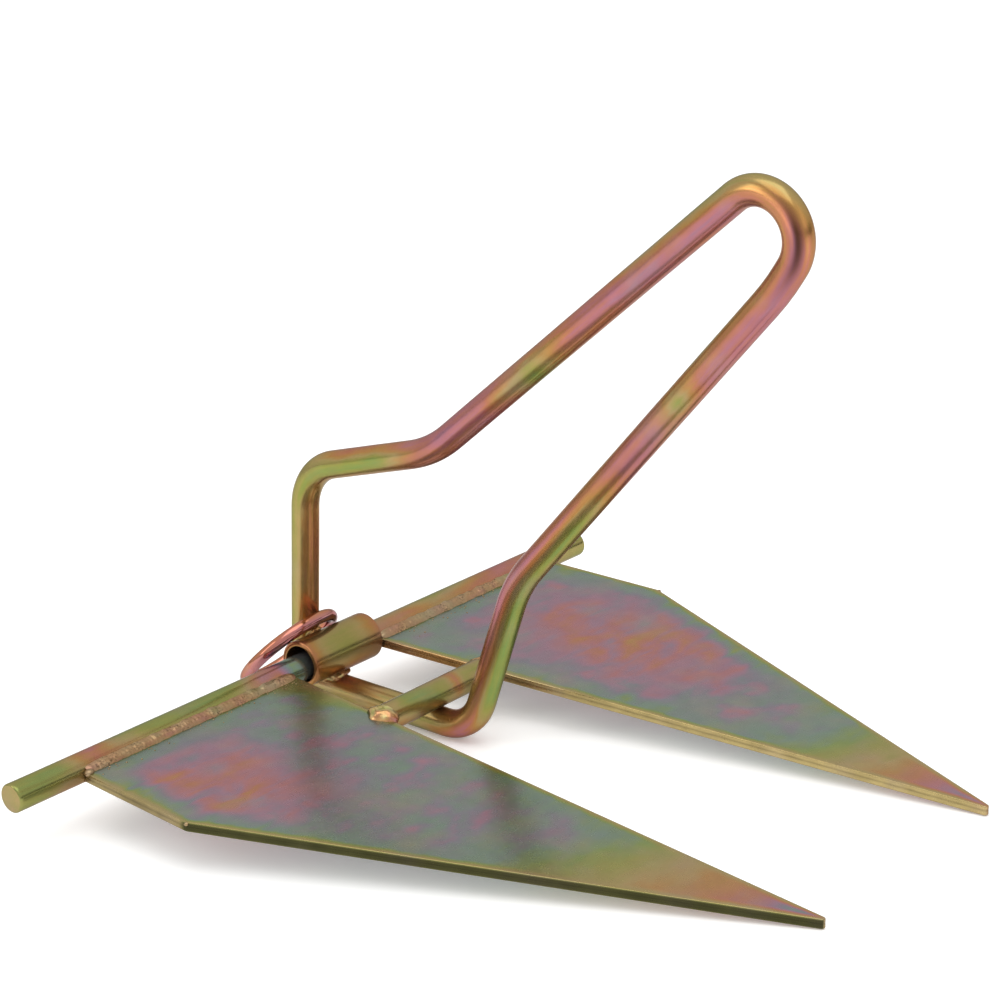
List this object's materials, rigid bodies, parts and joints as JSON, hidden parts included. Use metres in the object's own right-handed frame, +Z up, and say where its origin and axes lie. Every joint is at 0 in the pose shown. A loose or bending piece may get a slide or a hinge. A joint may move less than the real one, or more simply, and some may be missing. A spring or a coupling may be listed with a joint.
{
  "type": "fluke anchor",
  "caption": "Pivoting twin-fluke sand anchor: flat flukes on a round stock, a bent-rod shank that swings to a stop, and a loose slip ring.",
  "frame": {"origin": "bottom centre of the bounding box, on the floor that the anchor stands on", "axes": "+X along the stock, +Y towards the fluke tips, +Z up; the flukes tip 4.1 degrees down towards their tips"},
  "size_m": [0.346, 0.3274, 0.2507],
  "materials": {
    "fluke_zinc": "satin zinc plate with an iridescent yellow chromate film",
    "rod_zinc": "semi-gloss zinc plate with an iridescent yellow chromate film",
    "shank_zinc": "semi-gloss zinc plate with an iridescent yellow chromate film",
    "tube_zinc": "semi-gloss zinc plate with an iridescent yellow chromate film",
    "ring_zinc": "glossy zinc plate with a copper-pink chromate film",
    "weld_zinc": "rippled weld metal under pale chromate film"
  },
  "bodies": {
    "head": {"stock_rod": "rod_zinc", "fluke_plate_right": "fluke_zinc", "fluke_plate_left": "fluke_zinc", "cross_rod": "rod_zinc", "weld_fluke_right_top": "weld_zinc", "weld_fluke_right_under": "weld_zinc", "weld_fluke_left_top": "weld_zinc", "weld_fluke_left_under": "weld_zinc", "weld_cross_right": "weld_zinc", "weld_cross_left": "weld_zinc"},
    "shank": {"hinge_tube": "tube_zinc", "shank_rod": "shank_zinc", "weld_rear_leg": "weld_zinc", "weld_front_leg": "weld_zinc"},
    "ring": {"slip_ring": "ring_zinc"}
  },
  "joints": [
    {"name": "shank_hinge", "type": "hinge", "parent": "head", "child": "shank", "pos_m": [-0.0025, -0.12699, 0.02395], "axis": [-1, 0, 0], "range_deg": [0, 92.5]},
    {"name": "ring_slide", "type": "slide", "parent": "shank", "child": "ring", "axis": [0, 0.1105, 0.9939], "range_m": [0, 0.03]}
  ]
}
